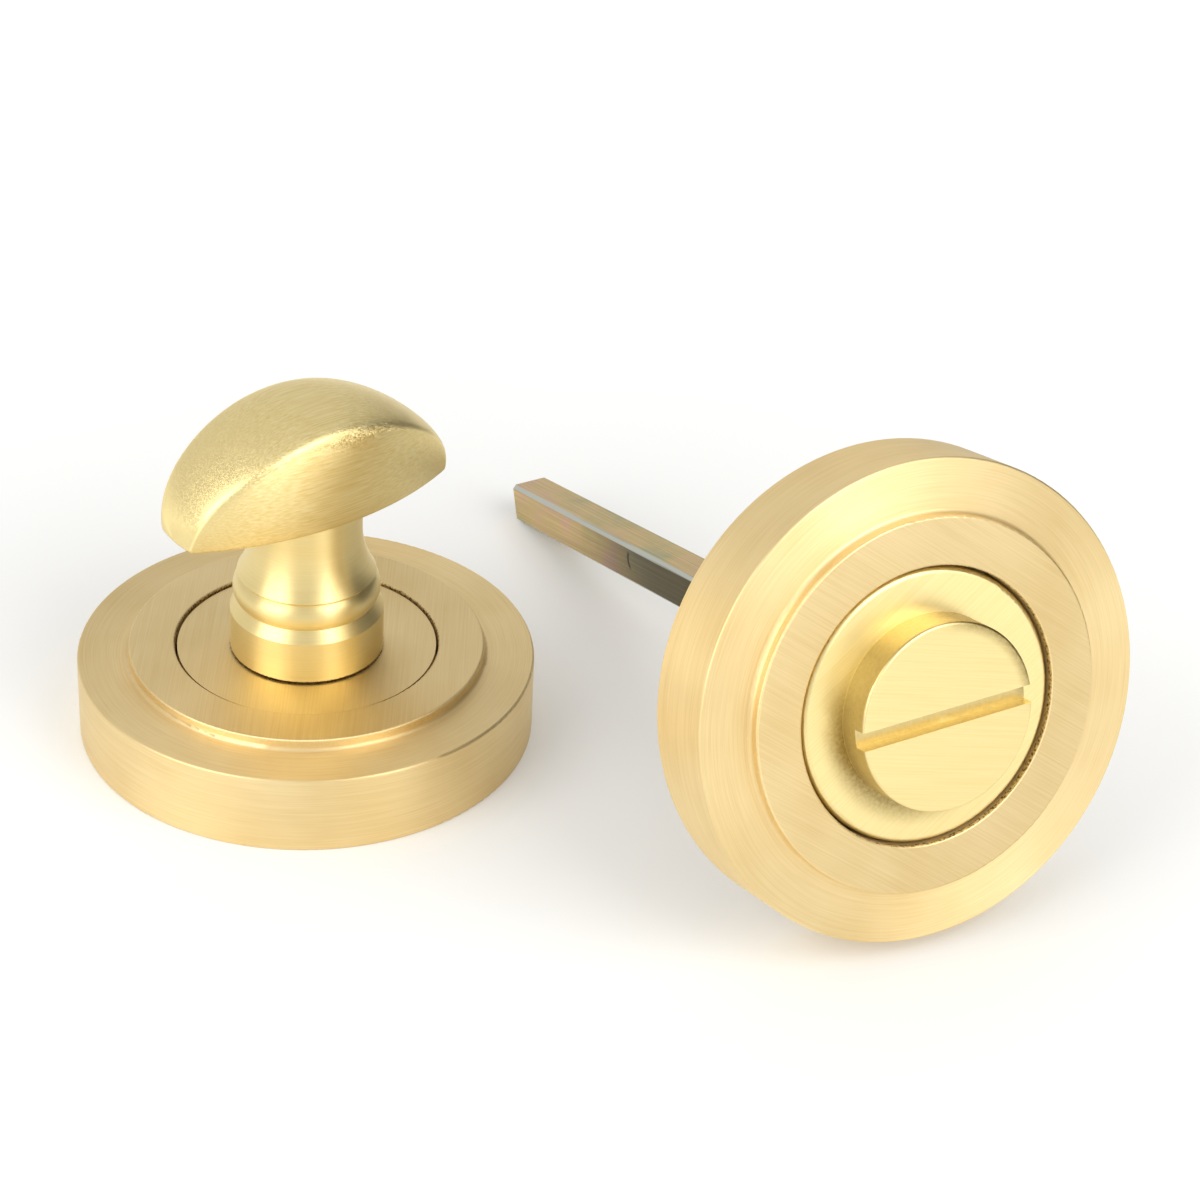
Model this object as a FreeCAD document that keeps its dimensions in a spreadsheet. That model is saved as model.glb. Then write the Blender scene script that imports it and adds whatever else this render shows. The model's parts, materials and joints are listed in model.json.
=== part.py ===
import FreeCAD, Part
import math
import os
import re
import Sketcher

# Bathroom thumb turn lock in satin brass: a scooped thumb turn on a stepped round rose for the inside of the
# door, and a coin release on a matching rose for the outside, which carries the square spindle.
# Each half is drawn with its back on the plane z = 0 and its axis along +Z. The thumb half stays there, with the
# knob's long axis along X. The release half leans on the rim of its rose and the tip of its spindle.

SIZES = {
    # Rose covers: a flat shoulder, then a raised ring round the hole
    "rose_radius": 26.5,
    "rose_depth": 10.8,
    "shoulder_depth": 9.45,
    "ring_radius": 20.6,
    "ring_fillet": 0.5,
    "edge_round": 0.25,
    "cover_wall": 3.4,
    "cover_roof": 2.4,
    "thread_gap": 0.1,
    # Base plates behind the covers
    "plate_thickness": 5.0,
    "boss_radius": 15.0,
    "boss_gap": 0.3,
    "boss_sink": 0.35,
    "seat_radius": 12.0,
    "fixing_radius": 2.25,
    "fixing_land": 0.4,
    "recess_radius": 11.0,
    "recess_depth": 4.4,
    # Bearing stack in the recess: bush, thrust washer, bowed spring washer, circlip
    "tail_radius": 6.0,
    "tail_inset": 0.5,
    "running_gap": 0.05,
    "fit_gap": 0.03,
    "end_float": 0.05,
    "bush_wall": 1.5,
    "bush_flange_radius": 9.3,
    "bush_flange": 0.8,
    "bush_proud": 0.2,
    "washer_radius": 9.2,
    "washer_thickness": 0.6,
    "washer_gap": 0.15,
    "spring_height": 0.8,
    "spring_thickness": 0.3,
    "spring_radius": 8.9,
    "clip_thickness": 1.0,
    "clip_groove": 0.3,
    "clip_width": 1.6,
    "clip_opening": 2.6,
    "clip_lug_radius": 1.3,
    "clip_lug_hole": 0.6,
    "clip_lug_land": 0.4,
    # Thumb turn: collar, bead and bell-shaped neck
    "collar_radius": 8.87,
    "collar_height": 5.0,
    "collar_step": 0.87,
    "collar_slope": 1.4,
    "bead_height": 3.1,
    "bead_round": 2.2,
    "bell_groove": 0.3,
    "bell_lip": 0.4,
    "bell_spread": 1.6,
    "bell_height": 5.6,
    "neck_radius": 6.4,
    "neck_height": 3.3,
    # Knob: a turned dome with steep sides, cut by two concave flanks
    "knob_radius": 17.35,
    "knob_height": 13.25,
    "knob_corner": 0.6,
    "knob_side": 9.1,
    "scoop_half_width": 6.5,
    "scoop_radius": 45.0,
    "scoop_rise": 6.26,
    "scoop_pivot": 31.4,
    "crease_round": 0.4,
    # Coin release
    "release_flange": 4.5,
    "release_round": 0.6,
    "coin_radius": 10.3,
    "coin_height": 4.15,
    "coin_edge": 0.3,
    "slot_width": 2.0,
    "slot_depth": 1.6,
    # Spindle, its sockets and its grub screw
    "spindle_side": 5.0,
    "spindle_corner": 0.45,
    "spindle_reach": 87.0,
    "spindle_tip": 0.7,
    "spindle_grip": 10.2,
    "socket_gap": 0.05,
    "socket_end_gap": 0.2,
    "socket_depth": 24.0,
    "grub_radius": 1.5,
    "grub_length": 9.0,
    "grub_height": 8.2,
    "grub_key": 0.75,
    "grub_key_depth": 1.6,
    # Where the release half lies beside the thumb half
    "release_x": 34.26,
    "release_y": -59.0,
    "release_angle": -10.66,
    "slot_angle": 2.0,
}

doc = FreeCAD.newDocument("thumb_turn_lock")
sheet = doc.addObject("Spreadsheet::Sheet", "Sizes")
for row, (alias, number) in enumerate(SIZES.items(), 1):
    sheet.set(f"A{row}", alias)
    sheet.set(f"B{row}", str(number))
    sheet.setAlias(f"B{row}", alias)
doc.recompute()

# Heights and radii that several pieces share, as formulas on the sheet
COVER_BORE = "(rose_radius - cover_wall)"
COVER_CEILING = "(shoulder_depth - cover_roof)"
COVER_HOLE = "(boss_radius + boss_gap)"
BOSS_FACE = "(rose_depth - boss_sink)"
PLATE_RIM = f"({COVER_BORE} - thread_gap)"
FIXING_CIRCLE = f"((boss_radius + {PLATE_RIM}) / 2)"
FIXING_SINK = f"(({PLATE_RIM} - boss_radius) / 2 - fixing_land - fixing_radius)"
BUSH_BORE = "(tail_radius + running_gap)"
BUSH_OUTSIDE = f"({BUSH_BORE} + bush_wall)"
FLANGE_BACK = "(recess_depth - bush_flange)"
WASHER_BACK = f"({FLANGE_BACK} - washer_thickness)"
CLIP_FRONT = f"({WASHER_BACK} - spring_height - 2 * end_float)"
CLIP_BACK = f"({CLIP_FRONT} - clip_thickness)"
GROOVE_RADIUS = "(tail_radius - clip_groove)"
THUMB_BUSH_TOP = f"({BOSS_FACE} + bush_proud)"
COLLAR_BACK = f"({THUMB_BUSH_TOP} + end_float)"
RELEASE_BACK = f"({BOSS_FACE} - release_flange)"
RELEASE_BUSH_TOP = f"({RELEASE_BACK} - end_float)"
COIN_FACE = f"({BOSS_FACE} + coin_height)"
SOCKET_HALF = "(spindle_side / 2 + socket_gap)"


def on_sheet(formula):
    """The formula with every size name pointing at its cell on the sheet."""
    return re.sub(r"[a-z_]+", lambda word: f"Sizes.{word[0]}" if word[0] in SIZES else word[0], formula)


def value(formula):
    return float(sheet.evalExpression(on_sheet(formula)))


def new_body(label):
    body = doc.addObject("PartDesign::Body", label)
    body.Label = label
    return body


def new_sketch(body, name, role, height=None):
    """A sketch on one of the body's own planes, raised along the plane's normal by a height on the sheet."""
    sketch = body.newObject("Sketcher::SketchObject", f"{body.Name}_{name}")
    plane = next(feature for feature in body.Origin.OriginFeatures if feature.Role == role)
    sketch.AttachmentSupport = [(plane, "")]
    sketch.MapMode = "FlatFace"
    if height:
        sketch.setExpression("AttachmentOffset.Base.z", on_sheet(height))
    return sketch


def pin_point(sketch, geometry, end, across, up):
    """Hold one point of the sketch at a pair of formulas, measured from the sketch's origin."""
    for kind, formula, axis in (("DistanceX", across, -2), ("DistanceY", up, -1)):
        if formula == "0":
            sketch.addConstraint(Sketcher.Constraint("PointOnObject", geometry, end, axis))
            continue
        index = sketch.addConstraint(Sketcher.Constraint(kind, -1, 1, geometry, end, value(formula)))
        sketch.setExpression(f"Constraints[{index}]", on_sheet(formula))


def add_circle(sketch, across, up, radius):
    centre = FreeCAD.Vector(value(across), value(up), 0)
    geometry = sketch.addGeometry(Part.Circle(centre, FreeCAD.Vector(0, 0, 1), value(radius)))
    pin_point(sketch, geometry, 3, across, up)
    index = sketch.addConstraint(Sketcher.Constraint("Radius", geometry, value(radius)))
    sketch.setExpression(f"Constraints[{index}]", on_sheet(radius))


def arc_between(start, finish, radius, bulge):
    """The short arc from start to finish: bulge 1 keeps its centre on the left of the way, -1 on the right."""
    chord = finish - start
    half = chord.Length / 2
    left = FreeCAD.Vector(-chord.y, chord.x, 0).normalize()
    centre = (start + finish) / 2 + left * (bulge * math.sqrt(max(radius**2 - half**2, 0)))
    first, last = (start, finish) if bulge > 0 else (finish, start)
    angles = [math.atan2(point.y - centre.y, point.x - centre.x) for point in (first, last)]
    circle = Part.Circle(centre, FreeCAD.Vector(0, 0, 1), radius)
    return Part.ArcOfCircle(circle, angles[0], angles[1])


def add_outline(sketch, corners, arcs=None):
    """A closed outline through corners given as formulas. arcs maps the corner that an arc leaves to its radius
    and bulge."""
    arcs = arcs or {}
    points = [FreeCAD.Vector(value(across), value(up), 0) for across, up in corners]
    starts = []
    ends = []
    for number, point in enumerate(points):
        following = points[(number + 1) % len(points)]
        if number in arcs:
            radius, bulge = arcs[number]
            geometry = sketch.addGeometry(arc_between(point, following, value(radius), bulge))
            index = sketch.addConstraint(Sketcher.Constraint("Radius", geometry, value(radius)))
            sketch.setExpression(f"Constraints[{index}]", on_sheet(radius))
            start, end = (1, 2) if bulge > 0 else (2, 1)
        else:
            geometry = sketch.addGeometry(Part.LineSegment(point, following))
            start, end = 1, 2
        starts.append((geometry, start))
        ends.append((geometry, end))
    for number, (across, up) in enumerate(corners):
        sketch.addConstraint(Sketcher.Constraint("Coincident", *ends[number - 1], *starts[number]))
        pin_point(sketch, *starts[number], across, up)


def turn(body, corners, arcs=None):
    """A piece turned about +Z from an outline of radii and heights."""
    sketch = new_sketch(body, "profile", "XZ_Plane")
    add_outline(sketch, corners, arcs)
    turned = body.newObject("PartDesign::Revolution", f"{body.Name}_turned")
    turned.Profile = sketch
    turned.ReferenceAxis = (sketch, ["V_Axis"])
    turned.Angle = 360
    doc.recompute()
    return turned


def pad(body, sketch, length):
    raised = body.newObject("PartDesign::Pad", f"{sketch.Name}_pad")
    raised.Profile = sketch
    raised.setExpression("Length", on_sheet(length))
    doc.recompute()
    return raised


def require_cut(feature):
    doc.recompute()
    if feature.Shape.Volume > feature.BaseFeature.Shape.Volume - 1e-6:
        raise RuntimeError(f"{feature.Name} removes nothing")
    return feature


def pocket(body, sketch, depth=None, forwards=False):
    """Cut a sketch back against its normal, or forwards along it, to a depth or right through both ways."""
    cut = body.newObject("PartDesign::Pocket", f"{sketch.Name}_pocket")
    cut.Profile = sketch
    if depth:
        cut.setExpression("Length", on_sheet(depth))
        cut.Reversed = forwards
    else:
        cut.Type = "ThroughAll"
        cut.Midplane = True
    return require_cut(cut)


def groove(body, sketch):
    """Cut a sketch round its own construction line."""
    cut = body.newObject("PartDesign::Groove", f"{sketch.Name}_groove")
    cut.Profile = sketch
    cut.ReferenceAxis = (sketch, ["Axis0"])
    cut.Angle = 360
    return require_cut(cut)


def dress(body, kind, edges, size):
    """Fillet or chamfer the chosen edges of the body's last feature."""
    base = body.Tip
    dressed = body.newObject(f"PartDesign::{kind}", f"{body.Name}_{kind.lower()}")
    dressed.Base = (base, edges)
    dressed.setExpression("Radius" if kind == "Fillet" else "Size", on_sheet(size))
    doc.recompute()
    return dressed


def edges_where(shape, test):
    return [f"Edge{number}" for number, edge in enumerate(shape.Edges, 1) if test(edge)]


def square_corners(half):
    return [(f"-{half}", f"-{half}"), (half, f"-{half}"), (half, half), (f"-{half}", half)]


def rose_cover(label):
    """A turned cup: wall, flat shoulder, small fillet and raised ring, bored for the boss and threaded inside."""
    body = new_body(label)
    corners = [
        (COVER_BORE, "0"),
        ("rose_radius - edge_round", "0"),
        ("rose_radius", "edge_round"),
        ("rose_radius", "shoulder_depth - edge_round"),
        ("rose_radius - edge_round", "shoulder_depth"),
        ("ring_radius + ring_fillet", "shoulder_depth"),
        ("ring_radius", "shoulder_depth + ring_fillet"),
        ("ring_radius", "rose_depth - edge_round"),
        ("ring_radius - edge_round", "rose_depth"),
        (f"{COVER_HOLE} + edge_round", "rose_depth"),
        (COVER_HOLE, "rose_depth - edge_round"),
        (COVER_HOLE, COVER_CEILING),
        (COVER_BORE, COVER_CEILING),
    ]
    rounds = {1: 1, 3: 1, 5: -1, 7: 1, 9: 1}
    turn(body, corners, {n: ("ring_fillet" if n == 5 else "edge_round", side) for n, side in rounds.items()})
    return body


def base_plate(label, boss_radius, boss_face):
    """A plate with a threaded rim, a boss that carries the bush, a recess behind and two countersunk holes."""
    body = new_body(label)
    bush_seat = f"({BUSH_OUTSIDE} + fit_gap)"
    turn(body, [
        ("recess_radius", "0"),
        (PLATE_RIM, "0"),
        (PLATE_RIM, "plate_thickness"),
        (boss_radius, "plate_thickness"),
        (boss_radius, boss_face),
        (bush_seat, boss_face),
        (bush_seat, "recess_depth"),
        ("recess_radius", "recess_depth"),
    ])
    holes = new_sketch(body, "fixings", "XY_Plane")
    add_circle(holes, FIXING_CIRCLE, "0", "fixing_radius")
    add_circle(holes, f"-{FIXING_CIRCLE}", "0", "fixing_radius")
    pocket(body, holes)
    rims = edges_where(body.Tip.Shape, lambda edge: isinstance(edge.Curve, Part.Circle)
                       and abs(edge.Curve.Radius - value("fixing_radius")) < 1e-6
                       and abs(edge.Curve.Center.z - value("plate_thickness")) < 1e-6)
    dress(body, "Chamfer", rims, FIXING_SINK)
    return body


def bush(label, top):
    body = new_body(label)
    turn(body, [
        (BUSH_BORE, FLANGE_BACK),
        ("bush_flange_radius", FLANGE_BACK),
        ("bush_flange_radius", "recess_depth"),
        (BUSH_OUTSIDE, "recess_depth"),
        (BUSH_OUTSIDE, top),
        (BUSH_BORE, top),
    ])
    return body


def thrust_washer(label):
    body = new_body(label)
    turn(body, [
        ("tail_radius + washer_gap", WASHER_BACK),
        ("washer_radius", WASHER_BACK),
        ("washer_radius", FLANGE_BACK),
        ("tail_radius + washer_gap", FLANGE_BACK),
    ])
    return body


def spring_washer(label):
    """A flat ring bowed about one diameter: a curved strip trimmed to the ring's outline."""
    body = new_body(label)
    bow = "(spring_height - spring_thickness)"
    inner_bend = f"((spring_radius^2 + {bow}^2) / (2 * {bow}))"
    low = f"({CLIP_FRONT} + end_float)"
    strip = new_sketch(body, "strip", "XZ_Plane")
    # The strip's arcs are concentric, so the ends stand along their radii
    lean_out = f"(spring_thickness * spring_radius / {inner_bend})"
    lean_up = f"(spring_thickness * ({inner_bend} - {bow}) / {inner_bend})"
    add_outline(strip, [
        ("-spring_radius", low),
        ("spring_radius", low),
        (f"spring_radius + {lean_out}", f"{low} + {lean_up}"),
        (f"-spring_radius - {lean_out}", f"{low} + {lean_up}"),
    ], {0: (inner_bend, -1), 2: (f"{inner_bend} + spring_thickness", 1)})
    bowed = pad(body, strip, "4 * spring_radius")
    bowed.Midplane = True
    ring = new_sketch(body, "ring", "XY_Plane")
    add_outline(ring, square_corners("(3 * spring_radius)"))
    add_circle(ring, "0", "0", "spring_radius")
    add_circle(ring, "0", "0", "tail_radius + washer_gap")
    pocket(body, ring)
    return body


def circlip(label):
    """A flat open ring that snaps into the tail's groove, with two pierced lugs beside its gap."""
    body = new_body(label)
    outside = f"({GROOVE_RADIUS} + fit_gap + clip_width)"
    lug_up = "(clip_opening / 2 + clip_lug_land + clip_lug_hole)"
    ring = new_sketch(body, "ring", "XY_Plane", CLIP_BACK)
    add_circle(ring, "0", "0", outside)
    pad(body, ring, "clip_thickness")
    lugs = new_sketch(body, "lugs", "XY_Plane", CLIP_BACK)
    add_circle(lugs, outside, lug_up, "clip_lug_radius")
    add_circle(lugs, outside, f"-{lug_up}", "clip_lug_radius")
    pad(body, lugs, "clip_thickness")
    bore = new_sketch(body, "bore", "XY_Plane")
    add_circle(bore, "0", "0", f"{GROOVE_RADIUS} + fit_gap")
    pocket(body, bore)
    holes = new_sketch(body, "holes", "XY_Plane")
    add_circle(holes, outside, lug_up, "clip_lug_hole")
    add_circle(holes, outside, f"-{lug_up}", "clip_lug_hole")
    pocket(body, holes)
    gap = new_sketch(body, "gap", "XY_Plane")
    beyond = f"(2 * {outside})"
    add_outline(gap, [
        ("0", "-clip_opening / 2"),
        (beyond, "-clip_opening / 2"),
        (beyond, "clip_opening / 2"),
        ("0", "clip_opening / 2"),
    ])
    pocket(body, gap)
    return body


def tail_corners():
    """The tail of either turn, from its end on the axis up past the circlip's groove."""
    return [
        ("0", "tail_inset"),
        ("tail_radius", "tail_inset"),
        ("tail_radius", f"{CLIP_BACK} - fit_gap"),
        (GROOVE_RADIUS, f"{CLIP_BACK} - fit_gap"),
        (GROOVE_RADIUS, f"{CLIP_FRONT} + fit_gap"),
        ("tail_radius", f"{CLIP_FRONT} + fit_gap"),
    ]


def square_socket(body, top):
    """A blind square socket for the spindle, from the tail's end up to a height."""
    sketch = new_sketch(body, "socket", "XY_Plane")
    add_outline(sketch, square_corners(SOCKET_HALF))
    pocket(body, sketch, top, forwards=True)


def thumb_turn(label):
    """Tail, collar, bead, bell-shaped neck and domed knob turned in one piece, then two flanks scooped out of the
    dome so that a lens-shaped grip is left, with a soft crease along its upper edge."""
    body = new_body(label)
    collar_top = f"({COLLAR_BACK} + collar_height)"
    first_groove = f"({collar_top} + collar_slope)"
    second_groove = f"({first_groove} + bead_height)"
    bell_base = f"({second_groove} + bell_lip)"
    bell_top = f"({bell_base} + bell_height)"
    knob_base = f"({bell_top} + neck_height)"
    bell_radius = "(neck_radius + bell_spread)"
    bell_sweep = "((bell_spread^2 + bell_height^2) / (2 * bell_spread))"
    # The dome's side is an arc that starts upright above the lower corner, and the crown is a wider arc tangent
    # to it, centred on the axis
    side_across = "(knob_radius - knob_side)"
    dome_height = "(knob_height - knob_corner)"
    crown = f"(({side_across}^2 + {dome_height}^2 - knob_side^2) / (2 * ({dome_height} - knob_side)))"
    share = f"({crown} / ({crown} - knob_side))"
    tail = tail_corners()
    corners = tail + [
        ("tail_radius", COLLAR_BACK),
        ("collar_radius", COLLAR_BACK),
        ("collar_radius", collar_top),
        ("collar_radius - collar_step", first_groove),
        (f"{bell_radius} - bell_groove", second_groove),
        (bell_radius, bell_base),
        ("neck_radius", bell_top),
        ("neck_radius", knob_base),
        ("knob_radius - knob_corner", knob_base),
        ("knob_radius", f"{knob_base} + knob_corner"),
        (f"{side_across} * {share}", f"{knob_base} + knob_height - {crown} + ({crown} - {dome_height}) * {share}"),
        ("0", f"{knob_base} + knob_height"),
    ]
    bead, bell, lower_corner, side, top = (len(tail) + step for step in (3, 5, 8, 9, 10))
    turn(body, corners, {
        bead: ("bead_round", 1),
        bell: (bell_sweep, -1),
        lower_corner: ("knob_corner", 1),
        side: ("knob_side", 1),
        top: (crown, 1),
    })
    scoop = new_sketch(body, "scoop", "YZ_Plane")
    pivot_line = Part.LineSegment(
        FreeCAD.Vector(value("scoop_pivot"), 0, 0),
        FreeCAD.Vector(value("scoop_pivot"), value(knob_base), 0),
    )
    pivot = scoop.addGeometry(pivot_line, True)
    pin_point(scoop, pivot, 1, "scoop_pivot", "0")
    pin_point(scoop, pivot, 2, "scoop_pivot", knob_base)
    add_circle(scoop, "-scoop_half_width - scoop_radius", f"{knob_base} + scoop_rise", "scoop_radius")
    near_flank = groove(body, scoop)
    far_flank = body.newObject("PartDesign::Mirrored", f"{label}_far_flank")
    far_flank.Originals = [near_flank]
    far_flank.MirrorPlane = (scoop, ["V_Axis"])
    body.Tip = far_flank
    require_cut(far_flank)
    flanks = [face for face in far_flank.Shape.Faces
              if isinstance(face.Surface, Part.Toroid) and abs(face.Surface.Center.y) > value("neck_radius")]
    creases = [edge for face in flanks for edge in face.Edges]
    soft = edges_where(far_flank.Shape, lambda edge: any(edge.isSame(crease) for crease in creases))
    dress(body, "Fillet", soft, "crease_round")
    square_socket(body, "tail_inset + socket_depth")
    return body


def release_turn(label):
    """Disc, coin boss and tail turned in one piece, slotted across the front, with a square socket for the spindle
    and a tapped hole in the disc's edge for the grub screw."""
    body = new_body(label)
    tail = tail_corners()
    corners = tail + [
        ("tail_radius", RELEASE_BACK),
        ("boss_radius", RELEASE_BACK),
        ("boss_radius", f"{BOSS_FACE} - release_round"),
        ("boss_radius - release_round", BOSS_FACE),
        ("coin_radius", BOSS_FACE),
        ("coin_radius", f"{COIN_FACE} - coin_edge"),
        ("coin_radius - coin_edge", COIN_FACE),
        ("0", COIN_FACE),
    ]
    turn(body, corners, {len(tail) + 2: ("release_round", 1), len(tail) + 5: ("coin_edge", 1)})
    slot = new_sketch(body, "slot", "XY_Plane", COIN_FACE)
    add_outline(slot, [
        ("-2 * coin_radius", "-slot_width / 2"),
        ("2 * coin_radius", "-slot_width / 2"),
        ("2 * coin_radius", "slot_width / 2"),
        ("-2 * coin_radius", "slot_width / 2"),
    ])
    pocket(body, slot, "slot_depth")
    square_socket(body, "spindle_grip + socket_end_gap")
    tapped = new_sketch(body, "tapped", "YZ_Plane")
    add_circle(tapped, "0", "grub_height", "grub_radius + running_gap")
    pocket(body, tapped, "2 * boss_radius", forwards=True)
    return body


def spindle(label):
    """A square bar with broken corners, bevelled at the free end."""
    body = new_body(label)
    half = "(spindle_side / 2)"
    broken = f"({half} - spindle_corner)"
    section = new_sketch(body, "section", "XY_Plane", "-spindle_reach")
    add_outline(section, [
        (half, f"-{broken}"), (half, broken),
        (broken, half), (f"-{broken}", half),
        (f"-{half}", broken), (f"-{half}", f"-{broken}"),
        (f"-{broken}", f"-{half}"), (broken, f"-{half}"),
    ])
    pad(body, section, "spindle_reach + spindle_grip")
    tip = edges_where(body.Tip.Shape, lambda edge: abs(edge.BoundBox.ZMax + value("spindle_reach")) < 1e-6)
    dress(body, "Chamfer", tip, "spindle_tip")
    return body


def grub_screw(label):
    """A socket screw along +X that bears on one flat of the spindle."""
    body = new_body(label)
    near = "(spindle_side / 2 + end_float)"
    far = f"({near} + grub_length)"
    profile = new_sketch(body, "profile", "XZ_Plane")
    axis_line = Part.LineSegment(
        FreeCAD.Vector(0, value("grub_height"), 0), FreeCAD.Vector(value(far), value("grub_height"), 0)
    )
    axis = profile.addGeometry(axis_line, True)
    pin_point(profile, axis, 1, "0", "grub_height")
    pin_point(profile, axis, 2, far, "grub_height")
    add_outline(profile, [
        (near, "grub_height"),
        (far, "grub_height"),
        (far, "grub_height + grub_radius"),
        (near, "grub_height + grub_radius"),
    ])
    shank = body.newObject("PartDesign::Revolution", f"{label}_shank")
    shank.Profile = profile
    shank.ReferenceAxis = (profile, ["Axis0"])
    shank.Angle = 360
    doc.recompute()
    key = new_sketch(body, "key", "YZ_Plane", far)
    flat = "grub_key * 2 / sqrt(3)"
    add_outline(key, [
        (f"{flat}", "grub_height"),
        (f"{flat} / 2", "grub_height + grub_key"),
        (f"-{flat} / 2", "grub_height + grub_key"),
        (f"-{flat}", "grub_height"),
        (f"-{flat} / 2", "grub_height - grub_key"),
        (f"{flat} / 2", "grub_height - grub_key"),
    ])
    pocket(body, key, "grub_key_depth")
    return body


def release_placement():
    """The release half leans back until the lowest corner of the spindle's tip reaches the plane that its rim
    stands on."""
    roll = math.radians(value("slot_angle"))
    half = value("spindle_side") / 2
    lowest = half * math.cos(roll) + (half - value("spindle_corner")) * math.sin(roll)
    reach = value("spindle_reach - spindle_tip + edge_round")
    lean = math.atan2(value("rose_radius") - lowest, reach)
    height = value("rose_radius") * math.cos(lean) - value("edge_round") * math.sin(lean)
    up = FreeCAD.Vector(0, 0, 1)
    facing = FreeCAD.Rotation(up, value("release_angle"))
    tipped = FreeCAD.Rotation(FreeCAD.Vector(1, 0, 0), 90 - math.degrees(lean))
    turned = FreeCAD.Rotation(up, value("slot_angle"))
    base = FreeCAD.Vector(value("release_x"), value("release_y"), height)
    return FreeCAD.Placement(base, facing * tipped * turned)


thumb_half = [
    rose_cover("thumb_rose_cover"),
    base_plate("thumb_base_plate", "boss_radius", BOSS_FACE),
    bush("thumb_bush", THUMB_BUSH_TOP),
    thrust_washer("thumb_thrust_washer"),
    spring_washer("thumb_spring_washer"),
    circlip("thumb_circlip"),
    thumb_turn("thumb_turn"),
]
release_half = [
    rose_cover("release_rose_cover"),
    base_plate("release_base_plate", "seat_radius", f"{RELEASE_BUSH_TOP} - bush_proud"),
    bush("release_bush", RELEASE_BUSH_TOP),
    thrust_washer("release_thrust_washer"),
    spring_washer("release_spring_washer"),
    circlip("release_circlip"),
    release_turn("release_turn"),
    spindle("spindle"),
    grub_screw("spindle_grub_screw"),
]

leaning = release_placement()
for body in release_half:
    body.Placement = leaning
doc.recompute()

sub_parts = thumb_half + release_half
failed = [item.Name for item in doc.Objects if {"Invalid", "Error"} & set(item.State)]
failed += [body.Label for body in sub_parts if body.Shape.isNull() or not body.Shape.isValid()]
if failed:
    raise RuntimeError("not built: " + ", ".join(failed))

os.makedirs("parts", exist_ok=True)
for body in sub_parts:
    body.Shape.exportStep(f"parts/{body.Label}.step")
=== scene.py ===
import json
import math

import bmesh
import bpy
from mathutils import Euler, Matrix, Vector


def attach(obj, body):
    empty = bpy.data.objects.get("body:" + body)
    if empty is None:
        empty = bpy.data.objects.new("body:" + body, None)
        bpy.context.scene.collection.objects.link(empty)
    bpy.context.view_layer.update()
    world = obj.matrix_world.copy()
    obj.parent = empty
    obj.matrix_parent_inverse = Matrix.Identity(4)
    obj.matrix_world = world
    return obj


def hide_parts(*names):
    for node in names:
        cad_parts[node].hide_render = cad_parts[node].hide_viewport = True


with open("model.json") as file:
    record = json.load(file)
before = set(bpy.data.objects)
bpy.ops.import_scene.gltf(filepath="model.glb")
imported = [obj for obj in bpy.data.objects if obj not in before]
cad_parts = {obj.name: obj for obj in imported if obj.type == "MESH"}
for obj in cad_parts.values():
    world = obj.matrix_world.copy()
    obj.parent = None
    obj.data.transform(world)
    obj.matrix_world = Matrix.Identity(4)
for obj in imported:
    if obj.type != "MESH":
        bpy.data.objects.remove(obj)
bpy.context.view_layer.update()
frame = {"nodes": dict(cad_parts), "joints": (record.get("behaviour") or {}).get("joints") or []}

nodes = frame["nodes"]
scene = bpy.context.scene


# Rose covers: a cup turned from brass bar for each half, screwed over its base plate. The wall and the
# shoulder keep the fine rings of the lathe, and the raised ring is brushed straight across, all to a satin
# finish.
def linear(colour):
    """An sRGB hex colour as linear red, green, blue and alpha."""
    levels = [int(colour[place:place + 2], 16) / 255 for place in (0, 2, 4)]
    shown = [level / 12.92 if level <= 0.04045 else ((level + 0.055) / 1.055) ** 2.4 for level in levels]
    return shown + [1.0]


def add(tree, kind, inputs=None, **settings):
    """A node with its settings. inputs maps a socket to a value, or to the socket that feeds it."""
    node = tree.nodes.new(kind)
    for name, setting in settings.items():
        setattr(node, name, setting)
    for socket, source in (inputs or {}).items():
        if isinstance(source, bpy.types.NodeSocket):
            tree.links.new(source, node.inputs[socket])
        else:
            node.inputs[socket].default_value = source
    return node


def new_material(name):
    """A material with an empty node tree."""
    material = bpy.data.materials.new(name)
    material.use_nodes = True
    tree = material.node_tree
    tree.nodes.clear()
    return material, tree


def finish_with(material, *names):
    """Gives the named solids this material alone."""
    for name in names:
        mesh = nodes[name].data
        mesh.materials.clear()
        mesh.materials.append(material)


# Each half has an axis of its own: the thumb half lies flat, and the release half leans on its rim
SLOT_TURN = math.radians(2.0)
release_joint = next(joint for joint in frame["joints"] if joint["child"] == "release_turn")
release_axis = Vector(release_joint["axis"])
lean = math.asin(release_axis.z)
facing = math.atan2(release_axis.y, release_axis.x) + math.pi / 2
release_turned = (
    Matrix.Rotation(facing, 3, "Z")
    @ Matrix.Rotation(math.pi / 2 - lean, 3, "X")
    @ Matrix.Rotation(SLOT_TURN, 3, "Z")
)
THUMB_PLACE = (Vector((0, 0, 0)), Euler((0, 0, 0)))
RELEASE_PLACE = (Vector(release_joint["pos_m"]), release_turned.to_euler("XYZ"))


def about_axis(tree, place):
    """Coordinates about the half's own axis, with Z out of its face, and the radius and height in them."""
    where = add(tree, "ShaderNodeTexCoord").outputs["Object"]
    own = add(tree, "ShaderNodeMapping", {"Vector": where, "Location": place[0], "Rotation": place[1]},
              vector_type="TEXTURE").outputs["Vector"]
    parts = add(tree, "ShaderNodeSeparateXYZ", {"Vector": own}).outputs
    level = add(tree, "ShaderNodeCombineXYZ", {"X": parts["X"], "Y": parts["Y"]}).outputs["Vector"]
    radius = add(tree, "ShaderNodeVectorMath", {0: level}, operation="LENGTH").outputs["Value"]
    return own, radius, parts["Z"]


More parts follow.
